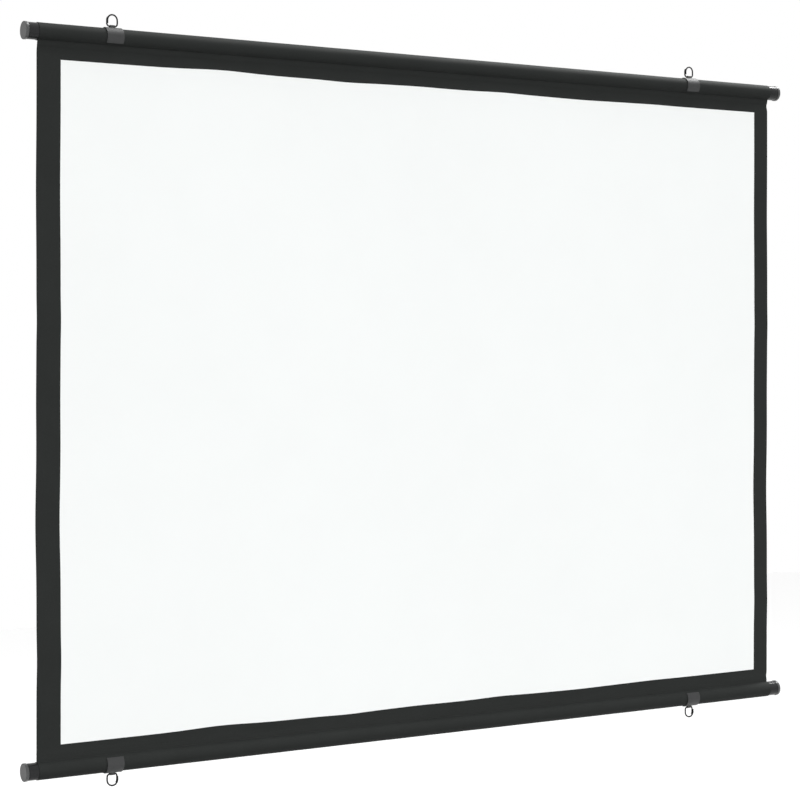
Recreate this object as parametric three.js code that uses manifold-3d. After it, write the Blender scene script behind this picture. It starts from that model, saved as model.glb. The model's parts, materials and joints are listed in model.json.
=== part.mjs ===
import * as THREE from 'three';
import { mergeVertices } from 'three/addons/utils/BufferGeometryUtils.js';
import Module from 'manifold-3d';

const wasm = await Module();
wasm.setup();

// A wall-hung roll-up projection screen: a black sheet with a white viewing area hangs between
// two round tubes. Each tube lies in a pocket at an end of the sheet, is closed by push-in
// plugs and carries two snap clips with a wire ring each, for hooks in the wall.
// Millimetres. +X is the viewer's right, +Y goes from the viewer to the wall and +Z is up.
// The origin is midway along the tubes, in the plane of the sheet, at the height where the
// top rings bear on their hooks.

// Viewing area, 4:3 and 60 inches from corner to corner
const viewWidth = 1219.2;
const viewHeight = 914.4;
const coatThickness = 0.12;
const coatGap = 0.01;
const coatShift = 3;

// Sheet
const sheetWidth = 1282;
const sheetThickness = 0.38;
const viewEdgeToTubeAxis = 33.9;
const hemGap = 0.3;

// Tubes
const tubeRadius = 11.5;
const tubeWall = 0.8;
const tubeEdgeBevel = 0.2;
const bareTubeLength = 14.2;
const tubeSegments = 48;

// Pockets at the sheet's ends
const pocketClearance = 0.15;
const neckHalfWidth = 2;
const neckDrop = 7;
const pocketSegments = 46;

// End plugs
const plugGap = 0.3;
const flangeRadius = 12.2;
const flangeThickness = 4.3;
const flangeRound = 0.5;
const flangeBackBevel = 0.7;
const flangeRoundSteps = 4;
const shankLength = 24;
const shankWall = 1.6;
const shankFloor = 2;
const shankTipTaper = 1;
const barbHeight = 0.9;
const barbLength = 3.4;
const barbPitch = 6;
const barbCount = 3;
const firstBarb = 3;
const slotWidth = 2.4;
const slotLength = 15;
const plugSegments = 30;

// Snap clips
const clipClearance = 0.2;
const clipWidth = 24.5;
const clipWall = 1.2;
const clipBevel = 0.25;
const clipArmAngle = THREE.MathUtils.degToRad(42);
const clipSegments = 30;
const clipTipSteps = 4;
const leftClipInset = 123.2;
const rightClipInset = 180.1;

// Lug on each clip, with the hole that the ring turns in
const lugLength = 7.2;
const lugWall = 0.9;
const lugFilletRadius = 1.6;
const lugSegments = 10;
const lugHoleSegments = 20;
const ringSeatGap = 0.2;

// Wire rings, bent with their ends lapped side by side on one limb
const wireRadius = 1.1;
const ringClearance = 0.15;
const ringWidth = 17;
const ringHeight = 18.2;
const ringCornerRadius = 4.2;
const lapGap = 0.1;
const lapArcAngle = THREE.MathUtils.degToRad(35);
const wireSides = 10;
const ringSteps = 50;
const ringArcPoints = 12;
const ringCornerPoints = 5;
const ringLimbPoints = 3;

// One overrun for every cut
const cutOverrun = 1;

// Sizes that follow
const tubeSpacing = viewHeight + 2 * viewEdgeToTubeAxis;
const tubeLength = sheetWidth + 2 * bareTubeLength;
const boreRadius = tubeRadius - tubeWall;
const pocketInnerRadius = tubeRadius + pocketClearance;
const pocketRadius = pocketInnerRadius + sheetThickness;
const neckReach = pocketRadius + neckDrop;
const clipInnerRadius = pocketRadius + clipClearance;
const clipRadius = clipInnerRadius + clipWall;
const pivotHeight = clipRadius + ringSeatGap + wireRadius;
const lugHoleRadius = wireRadius + ringClearance;
const lugRadius = lugHoleRadius + lugWall;
const hookHeight = pivotHeight + ringHeight - 3 * wireRadius;

const quarterTurn = Math.PI / 2;

const finishes = {
  tube: new THREE.MeshStandardMaterial({ color: 0x17181a, roughness: 0.2, metalness: 0 }),
  fabric: new THREE.MeshStandardMaterial({ color: 0x262827, roughness: 0.85, metalness: 0 }),
  coat: new THREE.MeshStandardMaterial({ color: 0xf9fbfa, roughness: 0.9, metalness: 0 }),
  plug: new THREE.MeshStandardMaterial({ color: 0x3d3f40, roughness: 0.5, metalness: 0 }),
  clip: new THREE.MeshStandardMaterial({ color: 0x343537, roughness: 0.55, metalness: 0 }),
  wire: new THREE.MeshStandardMaterial({ color: 0x262729, roughness: 0.4, metalness: 0 }),
};

// Shapes are drawn across the tube as (Y, Z) and extruded along X.
const acrossTube = new THREE.Matrix4().makeBasis(
  new THREE.Vector3(0, 1, 0),
  new THREE.Vector3(0, 0, 1),
  new THREE.Vector3(1, 0, 0),
);

// Turned profiles are drawn as (radius, distance along X).
const aroundTube = new THREE.Matrix4().makeBasis(
  new THREE.Vector3(0, 0, 1),
  new THREE.Vector3(1, 0, 0),
  new THREE.Vector3(0, 1, 0),
);

function mesh(name, geometry, finish) {
  const piece = new THREE.Mesh(geometry, finishes[finish].clone());
  piece.name = name;
  return piece;
}

// Points of an arc, both ends included; a falling angle runs clockwise.
function arc(centreX, centreY, radius, from, to, steps) {
  const points = [];
  for (let i = 0; i <= steps; i += 1) {
    const angle = from + ((to - from) * i) / steps;
    points.push(new THREE.Vector2(
      centreX + radius * Math.cos(angle),
      centreY + radius * Math.sin(angle),
    ));
  }
  return points;
}

function extrudeAcross(shape, length, bevel = 0) {
  const geometry = new THREE.ExtrudeGeometry(shape, {
    depth: length - 2 * bevel,
    bevelEnabled: bevel > 0,
    bevelThickness: bevel,
    bevelSize: bevel,
    bevelOffset: -bevel,
    bevelSegments: 1,
    steps: 1,
  });
  geometry.translate(0, 0, bevel - length / 2);
  geometry.applyMatrix4(acrossTube);
  return geometry;
}

function turn(profile, segments) {
  const geometry = new THREE.LatheGeometry(profile, segments);
  geometry.applyMatrix4(aroundTube);
  return geometry;
}

function toSolid(geometry) {
  const bare = geometry.clone();
  bare.deleteAttribute('normal');
  bare.deleteAttribute('uv');
  const merged = mergeVertices(bare);
  return new wasm.Manifold(new wasm.Mesh({
    numProp: 3,
    vertProperties: merged.attributes.position.array,
    triVerts: merged.index.array,
  }));
}

function toGeometry(solid) {
  const result = solid.getMesh();
  const geometry = new THREE.BufferGeometry();
  geometry.setAttribute('position', new THREE.BufferAttribute(result.vertProperties, 3));
  geometry.setIndex(new THREE.BufferAttribute(result.triVerts, 1));
  geometry.computeVertexNormals();
  return geometry;
}

// Open steel tube with its end edges broken.
function tubeGeometry() {
  const half = tubeLength / 2;
  const inner = half - tubeEdgeBevel;
  return turn([
    new THREE.Vector2(boreRadius, -half),
    new THREE.Vector2(tubeRadius - tubeEdgeBevel, -half),
    new THREE.Vector2(tubeRadius, -inner),
    new THREE.Vector2(tubeRadius, inner),
    new THREE.Vector2(tubeRadius - tubeEdgeBevel, half),
    new THREE.Vector2(boreRadius, half),
    new THREE.Vector2(boreRadius, -half),
  ], tubeSegments);
}

// Outline round the tube that narrows into the neck below it.
function pocketOutline(radius, halfWidth, tipHalfWidth, tipDepth) {
  const open = Math.asin(halfWidth / radius);
  const round = arc(0, 0, radius, open - quarterTurn, 3 * quarterTurn - open, pocketSegments);
  return [
    ...round,
    new THREE.Vector2(-tipHalfWidth, -tipDepth),
    new THREE.Vector2(tipHalfWidth, -tipDepth),
  ];
}

// Pocket of the sheet's own cloth: both layers run round the tube and close under it.
function pocketGeometry() {
  const shape = new THREE.Shape(
    pocketOutline(pocketRadius, neckHalfWidth, sheetThickness, neckReach),
  );
  shape.holes.push(new THREE.Path(pocketOutline(
    pocketInnerRadius,
    neckHalfWidth - sheetThickness,
    sheetThickness / 2,
    neckReach - neckDrop / 2,
  )));
  return extrudeAcross(shape, sheetWidth);
}

// Sheet between the two pockets.
function sheetGeometry() {
  const height = tubeSpacing - 2 * (neckReach + hemGap);
  return new THREE.BoxGeometry(sheetWidth, sheetThickness, height);
}

function coatGeometry() {
  return new THREE.BoxGeometry(viewWidth, coatThickness, viewHeight);
}

// Push-in plug, its flange facing +X: a hollow shank with saw-tooth barbs, split crosswise
// into four fingers that spring against the bore.
function plugGeometry() {
  const barbRadius = boreRadius - plugGap;
  const shankRadius = barbRadius - barbHeight;
  const coreRadius = shankRadius - shankWall;
  const profile = [
    new THREE.Vector2(0, -shankFloor),
    new THREE.Vector2(coreRadius, -shankFloor),
    new THREE.Vector2(coreRadius, -shankLength),
    new THREE.Vector2(shankRadius - shankTipTaper, -shankLength),
    new THREE.Vector2(shankRadius, -shankLength + shankTipTaper),
  ];
  for (let i = barbCount - 1; i >= 0; i -= 1) {
    const crest = -firstBarb - i * barbPitch;
    profile.push(new THREE.Vector2(shankRadius, crest - barbLength));
    profile.push(new THREE.Vector2(barbRadius, crest));
    profile.push(new THREE.Vector2(shankRadius, crest));
  }
  profile.push(
    new THREE.Vector2(shankRadius, 0),
    new THREE.Vector2(flangeRadius - flangeBackBevel, 0),
    new THREE.Vector2(flangeRadius, flangeBackBevel),
    ...arc(
      flangeRadius - flangeRound,
      flangeThickness - flangeRound,
      flangeRound,
      0,
      quarterTurn,
      flangeRoundSteps,
    ),
    new THREE.Vector2(0, flangeThickness),
  );
  const slot = new THREE.BoxGeometry(
    slotLength + cutOverrun,
    slotWidth,
    2 * (boreRadius + cutOverrun),
  );
  slot.translate((slotLength - cutOverrun) / 2 - shankLength, 0, 0);
  const crossSlot = slot.clone().rotateX(quarterTurn);
  const turned = toSolid(turn(profile, plugSegments));
  return toGeometry(turned.subtract(toSolid(slot)).subtract(toSolid(crossSlot)));
}

// C-shaped band, open towards the sheet, with rounded arm tips.
function clipBandGeometry() {
  const middle = (clipInnerRadius + clipRadius) / 2;
  const start = -clipArmAngle;
  const end = Math.PI + clipArmAngle;
  const tip = clipWall / 2;
  const outline = [
    ...arc(0, 0, clipRadius, start, end, clipSegments),
    ...arc(
      middle * Math.cos(end),
      middle * Math.sin(end),
      tip,
      end,
      end + Math.PI,
      clipTipSteps,
    ).slice(1, -1),
    ...arc(0, 0, clipInnerRadius, end, start, clipSegments),
    ...arc(
      middle * Math.cos(start),
      middle * Math.sin(start),
      tip,
      start + Math.PI,
      start + 2 * Math.PI,
      clipTipSteps,
    ).slice(1, -1),
  ];
  return extrudeAcross(new THREE.Shape(outline), clipWidth, clipBevel);
}

// Lug section: round over the wire, then flanks that sweep out into the band. Its underside
// follows the band inside the wall.
function lugOutline() {
  const bandRadius = (clipInnerRadius + clipRadius) / 2;
  const rootRadius = (clipInnerRadius + bandRadius) / 2;
  const filletX = lugRadius + lugFilletRadius;
  const filletEnd = Math.sqrt(bandRadius * bandRadius - filletX * filletX) + lugFilletRadius;
  const filletSteps = Math.round(lugSegments / 2);
  const root = Math.asin(filletX / rootRadius);
  return [
    ...arc(filletX, filletEnd, lugFilletRadius, 3 * quarterTurn, 2 * quarterTurn, filletSteps),
    ...arc(0, pivotHeight, lugRadius, 0, Math.PI, lugSegments),
    ...arc(-filletX, filletEnd, lugFilletRadius, 0, -quarterTurn, filletSteps),
    ...arc(0, 0, rootRadius, quarterTurn + root, quarterTurn - root, filletSteps),
  ];
}

function clipGeometry() {
  const lug = extrudeAcross(new THREE.Shape(lugOutline()), lugLength);
  const hole = new THREE.CylinderGeometry(
    lugHoleRadius,
    lugHoleRadius,
    lugLength + 2 * cutOverrun,
    lugHoleSegments,
  );
  hole.applyMatrix4(aroundTube);
  hole.translate(0, 0, pivotHeight);
  return toGeometry(
    toSolid(clipBandGeometry()).add(toSolid(lug)).subtract(toSolid(hole)),
  );
}

// Centre line of the wire: up the near strand of the lapped limb, over the top, down the single
// limb, through the lug and up the far strand. Only the strands leave the ring's plane.
function ringCurve() {
  const limb = ringWidth / 2 - wireRadius;
  const floor = pivotHeight;
  const ceiling = pivotHeight + ringHeight - 2 * wireRadius;
  const archHeight = ceiling - limb;
  const cornerHeight = floor + ringCornerRadius;
  const cornerX = limb - ringCornerRadius;
  const strand = wireRadius + lapGap / 2;
  const points = [];
  const put = (x, y, z) => points.push(new THREE.Vector3(x, y, z));
  for (let i = 0; i <= ringLimbPoints; i += 1) {
    put(-limb, -strand, cornerHeight + ((archHeight - cornerHeight) * i) / (ringLimbPoints + 1));
  }
  arc(0, archHeight, limb, Math.PI, 0, ringArcPoints).forEach((point, i) => {
    const past = (Math.PI * i) / ringArcPoints - lapArcAngle;
    const drift = THREE.MathUtils.smoothstep(past, 0, Math.PI - lapArcAngle);
    put(point.x, -strand * (1 - drift), point.y);
  });
  arc(cornerX, cornerHeight, ringCornerRadius, 0, -quarterTurn, ringCornerPoints)
    .forEach((point) => put(point.x, 0, point.y));
  put(0, 0, floor);
  arc(-cornerX, cornerHeight, ringCornerRadius, -quarterTurn, -2 * quarterTurn, ringCornerPoints)
    .forEach((point, i) => {
      put(point.x, strand * THREE.MathUtils.smoothstep(i / ringCornerPoints, 0, 1), point.y);
    });
  for (let i = 1; i <= ringLimbPoints; i += 1) {
    put(-limb, strand, cornerHeight + ((archHeight - cornerHeight) * i) / (ringLimbPoints + 1));
  }
  arc(0, archHeight, limb, Math.PI, Math.PI - lapArcAngle, ringLimbPoints)
    .forEach((point) => put(point.x, strand, point.y));
  return new THREE.CatmullRomCurve3(points, false, 'centripetal');
}

function ringGeometry() {
  const section = new THREE.Shape(
    arc(0, 0, wireRadius, 0, 2 * Math.PI, wireSides).slice(0, -1),
  );
  return new THREE.ExtrudeGeometry(section, { steps: ringSteps, extrudePath: ringCurve() });
}

// A clip and its ring, placed together; the lug points up.
function hanger(side) {
  const group = new THREE.Group();
  group.add(mesh(`${side}_clip`, clipGeometry(), 'clip'));
  group.add(mesh(`${side}_ring`, ringGeometry(), 'wire'));
  return group;
}

// A tube in its pocket, with a plug in each end.
function bar(place, neckAngle) {
  const group = new THREE.Group();
  group.add(mesh(`${place}_tube`, tubeGeometry(), 'tube'));
  const pocket = mesh(`${place}_pocket`, pocketGeometry(), 'fabric');
  pocket.rotation.y = neckAngle;
  group.add(pocket);
  for (const [side, end, angle] of [['left', -1, Math.PI], ['right', 1, 0]]) {
    const plug = mesh(`${place}_${side}_plug`, plugGeometry(), 'plug');
    plug.position.x = end * (tubeLength / 2 + plugGap);
    plug.rotation.z = angle;
    group.add(plug);
  }
  return group;
}

const topAxis = -hookHeight;
const bottomAxis = topAxis - tubeSpacing;
const leftClipX = leftClipInset - tubeLength / 2;
const rightClipX = tubeLength / 2 - rightClipInset;

const screen = new THREE.Group();

const topBar = bar('top', 0);
topBar.position.z = topAxis;
screen.add(topBar);

const bottomBar = bar('bottom', Math.PI);
bottomBar.position.z = bottomAxis;
screen.add(bottomBar);

const sheet = mesh('backing_sheet', sheetGeometry(), 'fabric');
sheet.position.z = (topAxis + bottomAxis) / 2;
screen.add(sheet);

const coat = mesh('viewing_surface', coatGeometry(), 'coat');
coat.position.set(coatShift, -(sheetThickness + coatThickness) / 2 - coatGap, sheet.position.z);
screen.add(coat);

for (const [side, x] of [['left', leftClipX], ['right', rightClipX]]) {
  const upper = hanger(`top_${side}`);
  upper.position.set(x, 0, topAxis);
  screen.add(upper);

  const lower = hanger(`bottom_${side}`);
  lower.position.set(x, 0, bottomAxis);
  lower.rotation.y = Math.PI;
  screen.add(lower);
}

export default screen;
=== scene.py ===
import json
import math

import bmesh
import bpy
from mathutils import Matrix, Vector, geometry, noise


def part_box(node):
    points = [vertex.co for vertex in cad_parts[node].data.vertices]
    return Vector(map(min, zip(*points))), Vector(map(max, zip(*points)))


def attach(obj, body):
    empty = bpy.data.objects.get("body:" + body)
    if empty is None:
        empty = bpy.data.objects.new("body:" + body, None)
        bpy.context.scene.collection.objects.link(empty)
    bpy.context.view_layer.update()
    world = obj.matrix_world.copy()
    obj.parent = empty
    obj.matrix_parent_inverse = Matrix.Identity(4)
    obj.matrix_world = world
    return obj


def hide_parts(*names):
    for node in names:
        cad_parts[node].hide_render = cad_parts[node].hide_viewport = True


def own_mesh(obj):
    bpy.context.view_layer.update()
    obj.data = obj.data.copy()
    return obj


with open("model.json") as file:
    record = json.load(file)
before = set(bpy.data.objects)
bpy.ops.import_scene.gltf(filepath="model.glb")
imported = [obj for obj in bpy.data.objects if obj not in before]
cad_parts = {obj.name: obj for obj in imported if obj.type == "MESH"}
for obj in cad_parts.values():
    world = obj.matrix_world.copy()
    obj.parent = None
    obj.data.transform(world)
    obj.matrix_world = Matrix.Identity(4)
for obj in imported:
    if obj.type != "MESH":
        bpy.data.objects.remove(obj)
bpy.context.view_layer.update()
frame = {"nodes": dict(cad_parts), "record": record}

# A wall-hung roll-up projection screen. The sheet, its white coat and the pockets round the tubes
# are modelled here; the tubes, plugs, clips and rings are the frame's own solids.
# Metres. +X is the viewer's right, +Y goes from the viewer to the wall and +Z is up.

MM = 0.001

# The photograph's camera
CAMERA_PLACE = (-1.7136, -2.6281, -0.4506)
CAMERA_TURN = math.radians(31.984)
CAMERA_LENS = 94.853
CAMERA_SHIFT = -0.06459

# What the frame gives
SHEET_LOW, SHEET_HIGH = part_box("backing_sheet")
VIEW_LOW, VIEW_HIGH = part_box("viewing_surface")
POCKET_LOW, POCKET_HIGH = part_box("top_pocket")
TOP_AXIS = sum(corner.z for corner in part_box("top_tube")) / 2
BOTTOM_AXIS = sum(corner.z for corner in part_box("bottom_tube")) / 2
CLOTH = SHEET_HIGH.y - SHEET_LOW.y
POCKET_RADIUS = POCKET_HIGH.z - TOP_AXIS
NECK_REACH = TOP_AXIS - POCKET_LOW.z

# Meshes of the cloth
GRID_STEP = 9 * MM
POCKET_GRID_STEP = 6 * MM
HOLD_ROWS = 5
NECK_STEPS = 6
BEND_STEPS = 5
POCKET_STEPS = 60
SHARP_ANGLE = math.radians(40)

# The sheet's ends reach TUCK into the pocket necks. Its ripples grow over HOLD_RUN beyond the
# necks, and its sides ease back to their own line over SIDE_EASE.
TUCK = 3 * MM
HOLD_RUN = 14 * MM
SIDE_EASE = 12 * MM

# Gap between the layers in a neck, and radius of the bend where a neck meets its tube.
NECK_GAP = 0.01 * MM
NECK_BEND = 0.8 * MM

# Faint puckers round the tubes: height, size along and round the tube, and the part of the noise
# that shows.
PUCKER = 0.1 * MM
PUCKER_LENGTH = 34 * MM
PUCKER_GIRTH = 9 * MM
PUCKER_SHARE = 0.5

# The sheet leaves each tube a little in front of the tube's lowest or highest line, then eases
# back into the plane of the tubes this far from the tube's axis.
TOP_LEAVES = 3.2 * MM
BOTTOM_LEAVES = 1.0 * MM
LEAN_FROM = 11.5 * MM
LEAN_TO = 27 * MM

# How far the cloth's left and right edges are drawn to the right where a tube holds them.
TOP_DRAWN = (-0.2 * MM, -2.2 * MM)
BOTTOM_DRAWN = (-0.4 * MM, -2.0 * MM)

# The sheet hangs a little low on its left and has slack ripples, as the photograph shows.
# Each ripple is (place as a share of the side, height, half width as a share of the side).
SAG_LEFT = -1.8 * MM
SAG_RIGHT = 0.25 * MM
UPWARD_RIPPLES = (
    (0.215, 2.4 * MM, 0.045),
    (0.375, -1.25 * MM, 0.032),
    (0.470, 0.55 * MM, 0.030),
    (0.585, 1.0 * MM, 0.030),
    (0.700, -0.8 * MM, 0.050),
    (0.815, 0.4 * MM, 0.030),
)
SIDEWAYS_RIPPLES = (
    (0.135, 0.75 * MM, 0.030),
    (0.330, -1.5 * MM, 0.062),
    (0.500, -0.35 * MM, 0.040),
    (0.615, 0.6 * MM, 0.026),
    (0.800, -0.85 * MM, 0.072),
)
# Each billow is (depth, waves across, waves down, phase in turns).
BILLOWS = (
    (0.55 * MM, 2.3, 0.35, 0.10),
    (0.30 * MM, 4.7, -0.6, 0.55),
    (0.22 * MM, 1.1, 1.9, 0.30),
)

# The frame's solids are shaded round across edges up to this angle.
WELD_DISTANCE = 0.001 * MM
ROUND_UP_TO = math.radians(50)

# Floor: its paleness and glow where it is seen, and its paleness where it lights the object.
FLOOR_Z = -1.95
FLOOR_HALF = 8.0
FLOOR_SHOWN = 0.9
FLOOR_LIFT = 0.2
FLOOR_BOUNCE = 0.22

# The light comes from a soft patch of sky above and in front, and is weaker from the horizon.
SKY_AIM = Vector((0.30, -0.68, 0.72)).normalized()
SKY_EDGE = 0.40
SKY_CORE = 0.97
SKY_STRENGTH = 2.09
HORIZON_STRENGTH = 0.12

# Each lamp is (name, place, aim, size in x and y, power in watts). The rear one stands behind the
# sheet and lights the tops of the tubes.
LAMPS = (
    ("rear", (1.85, 0.32, 1.9), (1.85, 0.32, 0.0), (2.7, 0.44), 147),
    ("front", (-0.5, -4.6, -0.9), (0.0, 0.0, -0.6), (3.0, 3.0), 45),
)


def ripple(share, ripples):
    """Sum of smooth bumps at a place given as a share of the side."""
    return sum(
        height * math.exp(-(((share - place) / half_width) ** 2))
        for place, height, half_width in ripples
    )


def smooth(value, low, high):
    """Rises from 0 at low to 1 at high."""
    t = min(1.0, max(0.0, (value - low) / (high - low)))
    return t * t * (3 - 2 * t)


def lean(reach, leaves):
    """How far the cloth lies from the plane of the tubes, at that distance from a tube's axis."""
    return -leaves * (1 - smooth(reach, LEAN_FROM, LEAN_TO))


def draw(across, z):
    """How far the tubes draw the cloth to the right, at that share of its width and height z."""
    total = 0.0
    for reach, (left, right) in ((TOP_AXIS - z, TOP_DRAWN), (z - BOTTOM_AXIS, BOTTOM_DRAWN)):
        held = 1 - smooth(reach, NECK_REACH, NECK_REACH + SIDE_EASE)
        total += held * (left + (right - left) * across)
    return total


def slack(x, z):
    """How far the sheet lies from its plain place at (x, z). The pocket necks hold it still."""
    forward = lean(TOP_AXIS - z, TOP_LEAVES) + lean(z - BOTTOM_AXIS, BOTTOM_LEAVES)
    across = (x - SHEET_LOW.x) / (SHEET_HIGH.x - SHEET_LOW.x)
    up = (z - SHEET_LOW.z) / (SHEET_HIGH.z - SHEET_LOW.z)
    free = smooth(z, SHEET_LOW.z, SHEET_LOW.z + HOLD_RUN)
    free *= smooth(z, SHEET_HIGH.z, SHEET_HIGH.z - HOLD_RUN)
    lift = SAG_LEFT + (SAG_RIGHT - SAG_LEFT) * across + ripple(across, UPWARD_RIPPLES)
    billow = sum(
        depth * math.sin(2 * math.pi * (waves_across * across + waves_down * up + phase))
        for depth, waves_across, waves_down, phase in BILLOWS
    )
    sideways = ripple(up, SIDEWAYS_RIPPLES)
    return Vector((draw(across, z), forward, 0)) + free * Vector((sideways, billow, lift))


def marks(stops, step):
    """Grid marks through every stop, no further apart than step."""
    found = [stops[0]]
    for low, high in zip(stops, stops[1:]):
        count = math.ceil((high - low) / step)
        found += [low + (high - low) * i / count for i in range(1, count + 1)]
    return found


def piece(name, points, faces, run):
    """A mesh piece; run gives each point its place on the flat cloth, for the weave."""
    mesh = bpy.data.meshes.new(name)
    mesh.from_pydata(points, [], faces)
    flat = mesh.attributes.new("cloth_run", "FLOAT_VECTOR", "POINT")
    flat.data.foreach_set("vector", [value for place in run for value in place])
    shape = bmesh.new()
    shape.from_mesh(mesh)
    bmesh.ops.recalc_face_normals(shape, faces=shape.faces)
    for face in shape.faces:
        face.smooth = True
    for edge in shape.edges:
        edge.smooth = len(edge.link_faces) == 2 and edge.calc_face_angle() < SHARP_ANGLE
    shape.to_mesh(mesh)
    shape.free()
    made = bpy.data.objects.new(name, mesh)
    bpy.context.scene.collection.objects.link(made)
    return made


def ring_faces(columns, around):
    """Quads between neighbouring columns of a closed section with that many points."""
    faces = []
    for i in range(columns - 1):
        for j in range(around):
            a = i * around + j
            b = i * around + (j + 1) % around
            faces.append((a, b, b + around, a + around))
    return faces


def layer(name, xs, zs, front, back):
    """A closed thin layer of cloth from front to back, with the sheet's slack."""
    points = []
    run = []
    for y in (front, back):
        for x in xs:
            for z in zs:
                points.append(Vector((x, y, z)) + slack(x, z))
                run.append((x, z, y))
    rows = len(zs)
    side = len(xs) * rows
    faces = []
    for i in range(len(xs) - 1):
        for j in range(rows - 1):
            a = i * rows + j
            quad = (a, a + rows, a + rows + 1, a + 1)
            faces.append(quad)
            faces.append(tuple(side + k for k in reversed(quad)))
    rim = [i * rows for i in range(len(xs))]
    rim += [(len(xs) - 1) * rows + j for j in range(1, rows)]
    rim += [i * rows + rows - 1 for i in range(len(xs) - 2, -1, -1)]
    rim += list(range(rows - 2, 0, -1))
    for a, b in zip(rim, rim[1:] + rim[:1]):
        faces.append((a, side + a, side + b, b))
    return piece(name, points, faces, run)


def neck_side(side, leaves):
    """Middle line of one layer of the neck under a tube at (0, 0), as (y, z), from its tip to
    where it lies on the tube; side is -1 at the front and 1 at the back. Also gives the angle
    from the neck, seen from the axis, at which it leaves the tube."""
    radius = POCKET_RADIUS - CLOTH / 2
    apart = side * (CLOTH + NECK_GAP)
    meet = math.asin(side * (apart - leaves) / radius)
    turn = math.pi / 2 - meet
    run = NECK_BEND * math.tan(turn / 2)
    # A Bezier curve with handles this long follows an arc through that turn.
    handle = NECK_BEND * 4 / 3 * math.tan(turn / 4)
    foot = radius * math.cos(meet) + run
    points = []
    for i in range(NECK_STEPS):
        reach = NECK_REACH + (foot - NECK_REACH) * i / NECK_STEPS
        points.append(Vector((lean(reach, leaves) + apart, -reach, 0)))
    angle = meet + run / radius
    foot_point = Vector((lean(foot, leaves) + apart, -foot, 0))
    on_tube = Vector((side * radius * math.sin(angle), -radius * math.cos(angle), 0))
    inward = Vector((-side * math.cos(angle), -math.sin(angle), 0))
    points += geometry.interpolate_bezier(
        foot_point,
        foot_point + Vector((0, handle, 0)),
        on_tube + inward * handle,
        on_tube,
        BEND_STEPS + 1,
    )
    return points, angle


def pocket_section(leaves):
    """Middle line of the cloth round a tube at (0, 0), as (y, z): up the front of the neck, over
    the tube and down the back."""
    radius = POCKET_RADIUS - CLOTH / 2
    front, front_angle = neck_side(-1, leaves)
    back, back_angle = neck_side(1, leaves)
    first = 1.5 * math.pi - front_angle
    sweep = 2 * math.pi - front_angle - back_angle
    over = []
    for i in range(1, POCKET_STEPS):
        angle = first - sweep * i / POCKET_STEPS
        over.append(Vector((radius * math.cos(angle), radius * math.sin(angle), 0)))
    return [Vector((point[0], point[1], 0)) for point in [*front, *over, *reversed(back)]]


def pocket(name, axis, up, leaves, drawn):
    """The sheet's end wrapped round a tube; up is 1 where the neck is below the tube, else -1."""
    line = pocket_section(leaves)
    normals = []
    for i, point in enumerate(line):
        along = line[min(i + 1, len(line) - 1)] - line[max(i - 1, 0)]
        normals.append(Vector((-along.y, along.x, 0)).normalized())
    lengths = [0.0]
    for a, b in zip(line, line[1:]):
        lengths.append(lengths[-1] + (b - a).length)
    total = lengths[-1]
    left, right = drawn
    xs = marks([SHEET_LOW.x + left, SHEET_HIGH.x + right], POCKET_GRID_STEP)
    points = []
    run = []
    for x in xs:
        for side, order in ((1, range(len(line))), (-1, range(len(line) - 1, -1, -1))):
            for i in order:
                wander = noise.noise((x / PUCKER_LENGTH, lengths[i] / PUCKER_GIRTH, up))
                free = smooth(lengths[i], 0, NECK_REACH)
                free *= smooth(total - lengths[i], 0, NECK_REACH)
                out = side * CLOTH / 2 + PUCKER * free * max(0.0, PUCKER_SHARE + wander)
                at = line[i] + normals[i] * out
                points.append((x, at.x, axis + up * at.y))
                run.append((x, lengths[i], up))
    around = 2 * len(line)
    faces = ring_faces(len(xs), around)
    last = (len(xs) - 1) * around
    for i in range(len(line) - 1):
        end = (i, i + 1, around - 2 - i, around - 1 - i)
        faces.append(end)
        faces.append(tuple(last + k for k in end))
    return piece(name, points, faces, run)


# Materials


def material(name, colour, roughness, specular):
    """A material with its shader's plain values set. Returns it, its tree and its shader."""
    made = bpy.data.materials.new(name)
    made.use_nodes = True
    tree = made.node_tree
    shader = tree.nodes["Principled BSDF"]
    shader.inputs["Base Color"].default_value = (*colour, 1)
    shader.inputs["Roughness"].default_value = roughness
    shader.inputs["Specular IOR Level"].default_value = specular
    return made, tree, shader


def node(tree, kind, **values):
    """A node with its inputs set by name, or linked where the value is a socket."""
    made = tree.nodes.new(kind)
    for key, value in values.items():
        name = key.replace("_", " ")
        if name in made.inputs:
            feed(tree, made.inputs[name], value)
        else:
            setattr(made, key, value)
    return made


def feed(tree, socket, value):
    """Links a socket to the input, or sets its plain value."""
    if isinstance(value, bpy.types.NodeSocket):
        tree.links.new(value, socket)
    else:
        socket.default_value = value


def arithmetic(tree, operation, *values):
    """The result of a math node on values, which are numbers or sockets."""
    made = tree.nodes.new("ShaderNodeMath")
    made.operation = operation
    for socket, value in zip(made.inputs, values):
        feed(tree, socket, value)
    return made.outputs["Value"]


def spread(tree, value, low, high):
    """value, from 0 to 1, spread over low to high."""
    made = node(tree, "ShaderNodeMapRange", Value=value, To_Min=low, To_Max=high)
    return made.outputs["Result"]


def cloud(tree, where, size, detail=3.0):
    """Soft noise from 0 to 1 whose features are about size across."""
    made = node(tree, "ShaderNodeTexNoise", Vector=where, Scale=1 / size, Detail=detail)
    return made.outputs["Fac"]


def tint(tree, shader, colour, share):
    """Makes the shader's colour lighter and darker by share, which is about 1."""
    made = node(tree, "ShaderNodeVectorMath", operation="SCALE")
    made.inputs[0].default_value = colour
    feed(tree, made.inputs["Scale"], share)
    tree.links.new(made.outputs["Vector"], shader.inputs["Base Color"])


def roughen(tree, shader, value, low, high):
    """Spreads the shader's roughness over low to high."""
    tree.links.new(spread(tree, value, low, high), shader.inputs["Roughness"])


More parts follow.
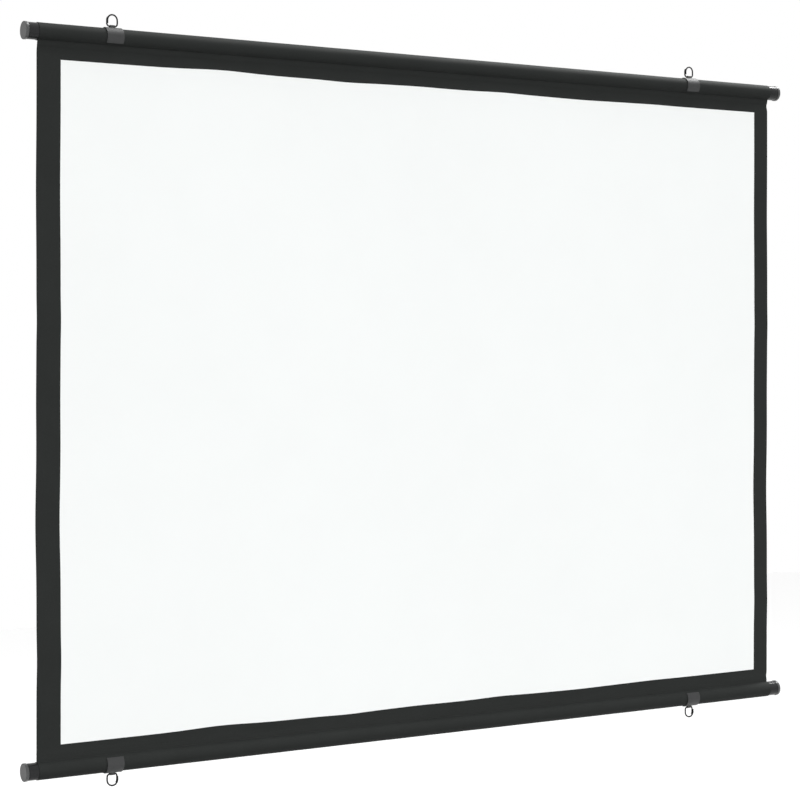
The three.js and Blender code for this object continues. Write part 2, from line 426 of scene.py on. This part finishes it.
def object_place(tree):
    """Place on a solid, which stays with it when it moves."""
    return node(tree, "ShaderNodeTexCoord").outputs["Object"]


def cloth_place(tree):
    """Place on the flat cloth."""
    return node(tree, "ShaderNodeAttribute", attribute_name="cloth_run").outputs["Vector"]


def weave(tree, where, pitch):
    """Plain weave: threads that pass over and under each other, from 0 to 1."""
    parts = node(tree, "ShaderNodeSeparateXYZ", Vector=where)
    across = arithmetic(tree, "MULTIPLY", parts.outputs["X"], math.pi / pitch)
    along = arithmetic(tree, "MULTIPLY", parts.outputs["Y"], math.pi / pitch)
    over = arithmetic(
        tree,
        "MULTIPLY",
        arithmetic(tree, "SINE", across),
        arithmetic(tree, "SINE", along),
    )
    return arithmetic(tree, "MULTIPLY_ADD", over, 0.5, 0.5)


def bumped(tree, shader, height, distance, strength=1.0, under=None):
    """Gives the shader small relief, over the normal under if there is one. Returns its normal."""
    made = node(tree, "ShaderNodeBump", Height=height, Distance=distance, Strength=strength)
    if under is not None:
        tree.links.new(under, made.inputs["Normal"])
    tree.links.new(made.outputs["Normal"], shader.inputs["Normal"])
    return made.outputs["Normal"]


def black_cloth():
    """Matt black coated cloth: the weave shows through the coating."""
    colour = (0.0242, 0.0262, 0.0252)
    made, tree, shader = material("black_coated_cloth", colour, roughness=0.68, specular=0.055)
    where = cloth_place(tree)
    blotch = cloud(tree, where, size=60 * MM)
    lint = cloud(tree, where, size=1.1 * MM, detail=2)
    shade = arithmetic(
        tree,
        "MULTIPLY",
        spread(tree, blotch, low=0.86, high=1.14),
        spread(tree, lint, low=0.82, high=1.18),
    )
    tint(tree, shader, colour, shade)
    roughen(tree, shader, blotch, low=0.62, high=0.74)
    wrinkles = cloud(tree, where, size=18 * MM)
    creased = bumped(tree, shader, wrinkles, distance=0.12 * MM)
    threads = weave(tree, where, pitch=0.55 * MM)
    bumped(tree, shader, threads, distance=0.035 * MM, strength=0.6, under=creased)
    return made


def white_coat():
    """Matt white viewing coat with a fine even grain."""
    colour = (0.935, 0.955, 0.948)
    made, tree, shader = material("matt_white_coat", colour, roughness=0.85, specular=0.2)
    where = cloth_place(tree)
    blotch = cloud(tree, where, size=90 * MM)
    grain = cloud(tree, where, size=0.7 * MM, detail=2)
    tint(tree, shader, colour, spread(tree, blotch, low=0.985, high=1.01))
    roughen(tree, shader, grain, low=0.78, high=0.92)
    bumped(tree, shader, grain, distance=0.012 * MM, strength=0.6)
    return made


def lacquer():
    """Gloss black lacquer on the steel tube, with a faint orange peel."""
    colour = (0.019, 0.0196, 0.0202)
    made, tree, shader = material("gloss_black_lacquer", colour, roughness=0.18, specular=0.14)
    where = object_place(tree)
    smear = cloud(tree, where, size=14 * MM)
    peel = cloud(tree, where, size=2.5 * MM, detail=1)
    tint(tree, shader, colour, spread(tree, smear, low=0.85, high=1.2))
    roughen(tree, shader, smear, low=0.14, high=0.24)
    bumped(tree, shader, peel, distance=0.01 * MM, strength=0.5)
    return made


def plug_plastic():
    """Moulded grey plastic with a satin grain."""
    colour = (0.05, 0.0515, 0.052)
    made, tree, shader = material("satin_grey_plastic", colour, roughness=0.32, specular=0.5)
    where = object_place(tree)
    mottle = cloud(tree, where, size=5 * MM)
    grain = cloud(tree, where, size=0.35 * MM, detail=2)
    tint(tree, shader, colour, spread(tree, mottle, low=0.92, high=1.08))
    roughen(tree, shader, grain, low=0.25, high=0.36)
    bumped(tree, shader, grain, distance=0.02 * MM, strength=0.5)
    return made


def clip_plastic():
    """Moulded dark grey plastic with a fine spark grain."""
    colour = (0.031, 0.032, 0.0325)
    made, tree, shader = material("grained_dark_plastic", colour, roughness=0.55, specular=0.36)
    where = object_place(tree)
    mottle = cloud(tree, where, size=6 * MM)
    grain = cloud(tree, where, size=0.45 * MM)
    tint(tree, shader, colour, spread(tree, mottle, low=0.88, high=1.12))
    roughen(tree, shader, grain, low=0.48, high=0.64)
    bumped(tree, shader, grain, distance=0.03 * MM, strength=0.6)
    return made


def coated_wire():
    """Dark coated steel wire, a little uneven."""
    colour = (0.013, 0.0136, 0.0142)
    made, tree, shader = material("dark_coated_wire", colour, roughness=0.42, specular=0.1)
    where = object_place(tree)
    mottle = cloud(tree, where, size=3 * MM)
    grain = cloud(tree, where, size=0.8 * MM, detail=2)
    tint(tree, shader, colour, spread(tree, mottle, low=0.8, high=1.25))
    roughen(tree, shader, mottle, low=0.36, high=0.48)
    bumped(tree, shader, grain, distance=0.015 * MM, strength=0.5)
    return made


# The frame's rigid solids


def rounding(name, angle):
    """Node group that welds a solid's facets and shades them round up to that angle."""
    group = bpy.data.node_groups.new(name, "GeometryNodeTree")
    group.interface.new_socket("Geometry", in_out="INPUT", socket_type="NodeSocketGeometry")
    group.interface.new_socket("Geometry", in_out="OUTPUT", socket_type="NodeSocketGeometry")
    given = group.nodes.new("NodeGroupInput")
    result = group.nodes.new("NodeGroupOutput")
    weld = group.nodes.new("GeometryNodeMergeByDistance")
    weld.inputs["Distance"].default_value = WELD_DISTANCE
    turn = group.nodes.new("GeometryNodeInputMeshEdgeAngle")
    sharp = group.nodes.new("FunctionNodeCompare")
    sharp.operation = "GREATER_THAN"
    sharp.inputs["B"].default_value = angle
    shade = group.nodes.new("GeometryNodeSetMeshNormal")
    shade.inputs["Remove Custom"].default_value = True
    group.links.new(given.outputs["Geometry"], weld.inputs["Geometry"])
    group.links.new(weld.outputs["Geometry"], shade.inputs["Mesh"])
    group.links.new(turn.outputs["Unsigned Angle"], sharp.inputs["A"])
    group.links.new(sharp.outputs["Result"], shade.inputs["Edge Sharpness"])
    group.links.new(shade.outputs["Mesh"], result.inputs["Geometry"])
    return group


def finish_solid(name, finish, group):
    """Gives a solid of the frame its material and smooth shading."""
    solid = frame["nodes"][name]
    for holder in solid.material_slots:
        holder.material = finish
    round_off = solid.modifiers.new("round_off", "NODES")
    round_off.node_group = group
    even = solid.modifiers.new("even", "WEIGHTED_NORMAL")
    even.keep_sharp = True


# Stage, light and camera


def lay_floor(finish):
    """A plain square floor, which isn't part of the object."""
    mesh = bpy.data.meshes.new("floor")
    signs = ((-1, -1), (1, -1), (1, 1), (-1, 1))
    corners = [(x * FLOOR_HALF, y * FLOOR_HALF, FLOOR_Z) for x, y in signs]
    mesh.from_pydata(corners, [], [(0, 1, 2, 3)])
    mesh.materials.append(finish)
    floor = bpy.data.objects.new("floor", mesh)
    bpy.context.scene.collection.objects.link(floor)


def seen_directly(tree):
    """1 for the rays that show the background: camera, glossy and transmission rays."""
    rays = tree.nodes.new("ShaderNodeLightPath").outputs
    either = arithmetic(tree, "MAXIMUM", rays["Is Camera Ray"], rays["Is Glossy Ray"])
    return arithmetic(tree, "MAXIMUM", either, rays["Is Transmission Ray"])


def pale_floor():
    """Pale floor that shows white except where the object shades it. It sends less light back
    up than it shows, because the photograph's undersides are dark."""
    made, tree, shader = material("pale_floor", [FLOOR_BOUNCE] * 3, roughness=0.9, specular=0.1)
    lit = node(tree, "ShaderNodeBsdfDiffuse", Color=[FLOOR_SHOWN] * 3 + [1])
    lift = node(tree, "ShaderNodeEmission", Strength=FLOOR_LIFT)
    seen = node(tree, "ShaderNodeAddShader")
    tree.links.new(lit.outputs["BSDF"], seen.inputs[0])
    tree.links.new(lift.outputs["Emission"], seen.inputs[1])
    mix = node(tree, "ShaderNodeMixShader", Fac=seen_directly(tree))
    tree.links.new(shader.outputs["BSDF"], mix.inputs[1])
    tree.links.new(seen.outputs["Shader"], mix.inputs[2])
    tree.links.new(mix.outputs["Shader"], tree.nodes["Material Output"].inputs["Surface"])
    return made


def studio_world():
    """White background; the light from it comes mostly from a soft patch above."""
    world = bpy.data.worlds.new("studio")
    bpy.context.scene.world = world
    world.use_nodes = True
    tree = world.node_tree
    towards = node(tree, "ShaderNodeVectorMath", operation="DOT_PRODUCT")
    feed(tree, towards.inputs[0], node(tree, "ShaderNodeTexCoord").outputs["Generated"])
    feed(tree, towards.inputs[1], SKY_AIM)
    light = node(
        tree,
        "ShaderNodeMapRange",
        interpolation_type="SMOOTHSTEP",
        Value=towards.outputs["Value"],
        From_Min=SKY_EDGE,
        From_Max=SKY_CORE,
        To_Min=HORIZON_STRENGTH,
        To_Max=SKY_STRENGTH,
    ).outputs["Result"]
    ambient = node(tree, "ShaderNodeBackground", Strength=light)
    backdrop = node(tree, "ShaderNodeBackground", Strength=1.0)
    for sky in (ambient, backdrop):
        sky.inputs["Color"].default_value = (1, 1, 1, 1)
    mix = node(tree, "ShaderNodeMixShader", Fac=seen_directly(tree))
    tree.links.new(ambient.outputs["Background"], mix.inputs[1])
    tree.links.new(backdrop.outputs["Background"], mix.inputs[2])
    tree.links.new(mix.outputs["Shader"], tree.nodes["World Output"].inputs["Surface"])


def soft_light(name, place, aim, size, power):
    """A large soft lamp that the camera doesn't see."""
    lamp = bpy.data.lights.new(name, "AREA")
    lamp.shape = "RECTANGLE"
    lamp.size, lamp.size_y = size
    lamp.energy = power
    made = bpy.data.objects.new(name, lamp)
    made.location = place
    made.rotation_euler = (Vector(aim) - Vector(place)).to_track_quat("-Z", "Y").to_euler()
    made.visible_camera = False
    bpy.context.scene.collection.objects.link(made)


def camera():
    """The camera at the photograph's place, level, with its framing moved by the shift."""
    lens = bpy.data.cameras.new("camera")
    lens.lens = CAMERA_LENS
    lens.shift_y = CAMERA_SHIFT
    made = bpy.data.objects.new("camera", lens)
    made.location = CAMERA_PLACE
    made.rotation_euler = (math.pi / 2, 0, -CAMERA_TURN)
    bpy.context.scene.collection.objects.link(made)
    bpy.context.scene.camera = made


camera()
studio_world()
lay_floor(pale_floor())
for lamp in LAMPS:
    soft_light(*lamp)

finishes = {
    "tube": lacquer(),
    "plug": plug_plastic(),
    "cloth": black_cloth(),
    "coat": white_coat(),
    "clip": clip_plastic(),
    "wire": coated_wire(),
}

round_solid = rounding("round_solid", ROUND_UP_TO)
for part in frame["record"]["subparts"]:
    if part["material_slot"] in ("tube", "plug", "clip", "wire"):
        finish_solid(part["node"], finishes[part["material_slot"]], round_solid)

# The rows are closer together at the sheet's held ends.
columns = marks([SHEET_LOW.x, VIEW_LOW.x, VIEW_HIGH.x, SHEET_HIGH.x], GRID_STEP)
view_columns = [x for x in columns if VIEW_LOW.x <= x <= VIEW_HIGH.x]
low_rows = marks([SHEET_LOW.z - TUCK, SHEET_LOW.z, VIEW_LOW.z], HOLD_RUN / HOLD_ROWS)
view_rows = marks([VIEW_LOW.z, VIEW_HIGH.z], GRID_STEP)
high_rows = marks([VIEW_HIGH.z, SHEET_HIGH.z, SHEET_HIGH.z + TUCK], HOLD_RUN / HOLD_ROWS)
rows = low_rows + view_rows[1:] + high_rows[1:]

sheet = layer("sheet_cloth", columns, rows, SHEET_LOW.y, SHEET_HIGH.y)
coat = layer("viewing_coat", view_columns, view_rows, VIEW_LOW.y, SHEET_LOW.y)
top_pocket = pocket("top_pocket_cloth", TOP_AXIS, 1, TOP_LEAVES, TOP_DRAWN)
bottom_pocket = pocket("bottom_pocket_cloth", BOTTOM_AXIS, -1, BOTTOM_LEAVES, BOTTOM_DRAWN)

for made, slot, body, stands_for in (
    (sheet, "cloth", "top_bar", "backing_sheet"),
    (coat, "coat", "top_bar", "viewing_surface"),
    (top_pocket, "cloth", "top_bar", "top_pocket"),
    (bottom_pocket, "cloth", "bottom_bar", "bottom_pocket"),
):
    made.data.materials.append(finishes[slot])
    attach(made, body)
    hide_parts(stands_for)

# The sheet and its coat get meshes of their own.
for made in (sheet, coat):
    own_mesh(made)

bpy.context.scene.view_settings.view_transform = "Standard"
